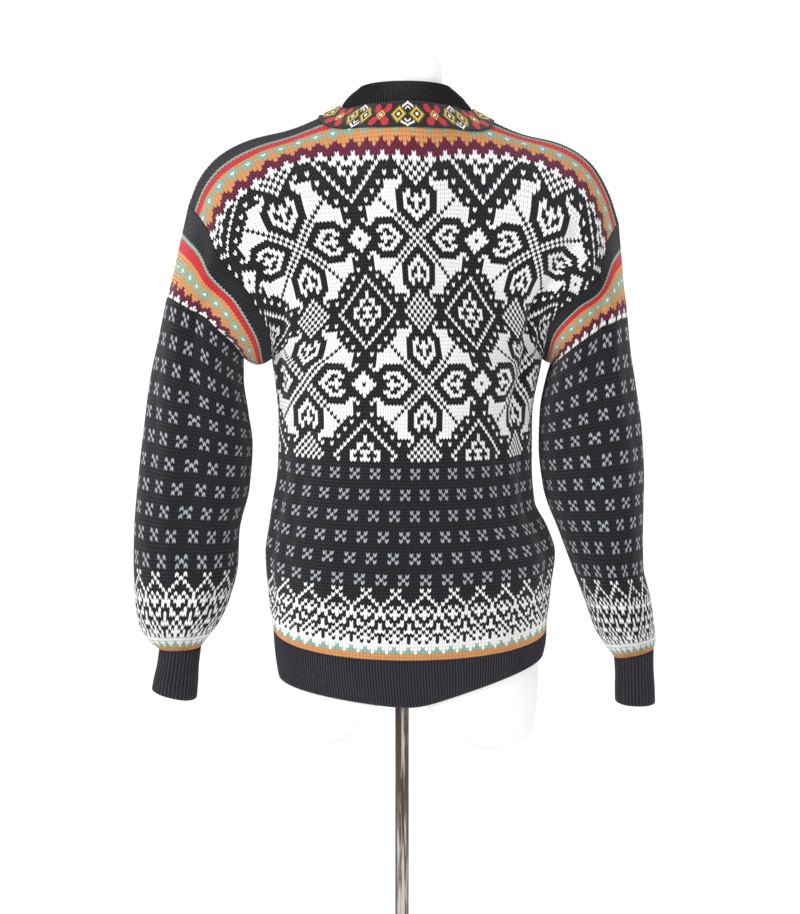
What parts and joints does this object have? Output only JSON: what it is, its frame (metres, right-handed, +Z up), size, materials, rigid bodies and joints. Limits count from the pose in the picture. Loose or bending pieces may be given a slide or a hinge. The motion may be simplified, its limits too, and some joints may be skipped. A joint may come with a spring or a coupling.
{
  "type": "pullover on a dress form stand",
  "caption": "Hip-length patterned wool pullover with ribbed collar, cuffs and hem, on a limbless white dress form with a metal pole and a round base.",
  "frame": {"origin": "on the underside of the base, on the pole's axis", "axes": "+Z up, the garment's front faces -Y, the wearer's left side is +X"},
  "size_m": [0.6375, 0.32, 1.1477],
  "materials": {
    "patterned_knit": "stranded wool stocking stitch, charcoal and white with orange, plum, red and mint bands",
    "charcoal_rib": "charcoal wool rib",
    "woven_ribbon": "woven ribbon, dark ground with red, yellow and white figures",
    "form_shell": "smooth white shell, satin",
    "pole_chrome": "polished",
    "base_steel": "brushed in rings"
  },
  "bodies": {
    "root": {"body_back": "patterned_knit", "body_front": "patterned_knit", "sleeve_left": "patterned_knit", "sleeve_right": "patterned_knit", "cuff_left": "charcoal_rib", "cuff_right": "charcoal_rib", "hem_rib": "charcoal_rib", "collar_rib": "charcoal_rib", "neck_ribbon": "woven_ribbon", "dress_form": "form_shell", "stand_pole": "pole_chrome", "stand_base": "base_steel"}
  },
  "joints": []
}
